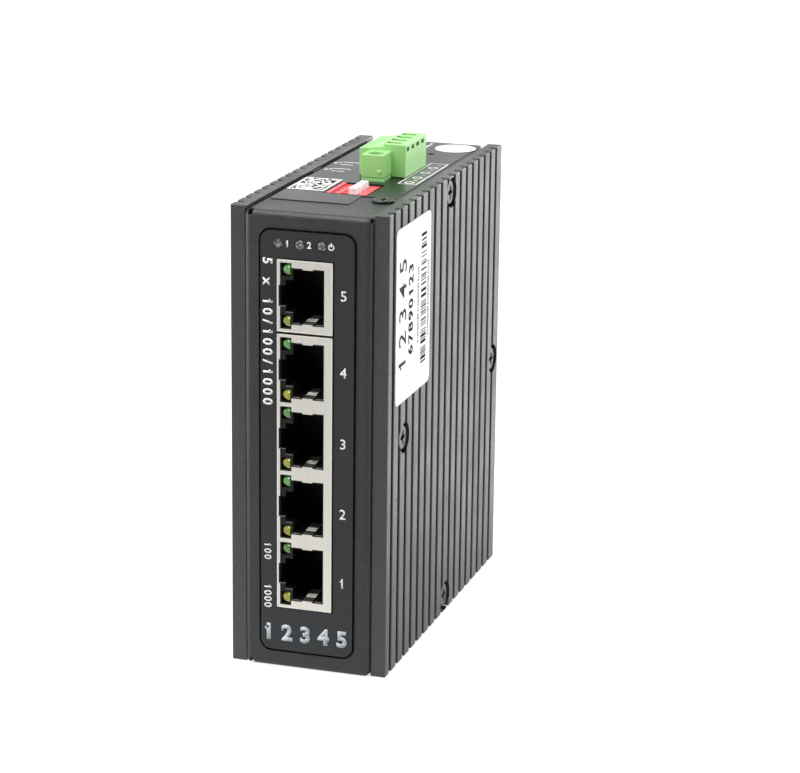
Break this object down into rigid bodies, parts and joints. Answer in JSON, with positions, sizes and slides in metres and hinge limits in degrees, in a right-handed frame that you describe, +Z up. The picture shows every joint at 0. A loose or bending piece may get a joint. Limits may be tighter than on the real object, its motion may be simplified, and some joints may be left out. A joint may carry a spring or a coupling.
{
  "type": "industrial network switch",
  "caption": "Narrow upright rail-mounted network switch with finned side panels, a column of cable sockets, a screw plug on top and a clip on the back.",
  "frame": {"origin": "centre of the folded case's underside", "axes": "+Z up, -Y out of the port side, +Y towards the rail, +X to the right seen from the ports"},
  "size_m": [0.0372, 0.0964, 0.1145],
  "materials": {
    "case_paint": "satin",
    "panel_paint": "satin",
    "nickel": "satin",
    "zinc": "satin",
    "black_screw": "satin",
    "film": "matte",
    "paper": "matte",
    "black_plastic": "satin",
    "gold": "satin",
    "green_lamp": "gloss",
    "yellow_lamp": "gloss",
    "frosted": "satin",
    "green_plastic": "satin",
    "red_plastic": "satin",
    "white_plastic": "satin",
    "board_green": "satin",
    "grey_pad": "matte",
    "steel_clip": "satin",
    "spring_steel": "polished"
  },
  "bodies": {
    "switch_body": {"board_posts": "gold", "board_screws": "zinc", "bracket_screws": "zinc", "capacitors": "black_plastic", "case_shell": "case_paint", "code_sticker": "paper", "earth_screw": "black_screw", "front_label": "film", "gang_socket_can": "nickel", "gang_socket_contacts": "gold", "gang_socket_moulding": "black_plastic", "indicator_lights": "frosted", "latch_spring": "spring_steel", "left_panel": "panel_paint", "left_panel_screws": "zinc", "lower_port_lamps": "yellow_lamp", "main_board": "board_green", "power_coil": "black_plastic", "power_socket": "green_plastic", "rail_bracket": "steel_clip", "rear_plate": "case_paint", "right_panel": "panel_paint", "right_panel_screws": "zinc", "round_sticker": "paper", "setting_switch": "red_plastic", "side_sticker": "paper", "single_socket_can": "nickel", "single_socket_contacts": "gold", "single_socket_moulding": "black_plastic", "socket_pins": "zinc", "switch_chip": "black_plastic", "thermal_pad": "grey_pad", "top_label": "film", "upper_port_lamps": "green_lamp"},
    "plug": {"power_plug": "green_plastic", "clamp_screws": "zinc", "lock_screws": "zinc"},
    "latch": {"rail_latch": "steel_clip"},
    "lever_1": {"setting_lever_1": "white_plastic"},
    "lever_2": {"setting_lever_2": "white_plastic"},
    "lever_3": {"setting_lever_3": "white_plastic"},
    "lever_4": {"setting_lever_4": "white_plastic"}
  },
  "joints": [
    {"name": "plug_pull", "type": "slide", "parent": "switch_body", "child": "plug", "axis": [0, 0, 1], "range_m": [0, 0.012]},
    {"name": "latch_slide", "type": "slide", "parent": "switch_body", "child": "latch", "axis": [0, 0, -1], "range_m": [0, 0.004], "stiffness_N_per_m": 1500, "springref_m": -0.003, "deforming": ["latch_spring"]},
    {"name": "lever_1_slide", "type": "slide", "parent": "switch_body", "child": "lever_1", "axis": [-1, 0, 0], "range_m": [0, 0.002]},
    {"name": "lever_2_slide", "type": "slide", "parent": "switch_body", "child": "lever_2", "axis": [-1, 0, 0], "range_m": [0, 0.002]},
    {"name": "lever_3_slide", "type": "slide", "parent": "switch_body", "child": "lever_3", "axis": [-1, 0, 0], "range_m": [0, 0.002]},
    {"name": "lever_4_slide", "type": "slide", "parent": "switch_body", "child": "lever_4", "axis": [-1, 0, 0], "range_m": [0, 0.002]}
  ]
}
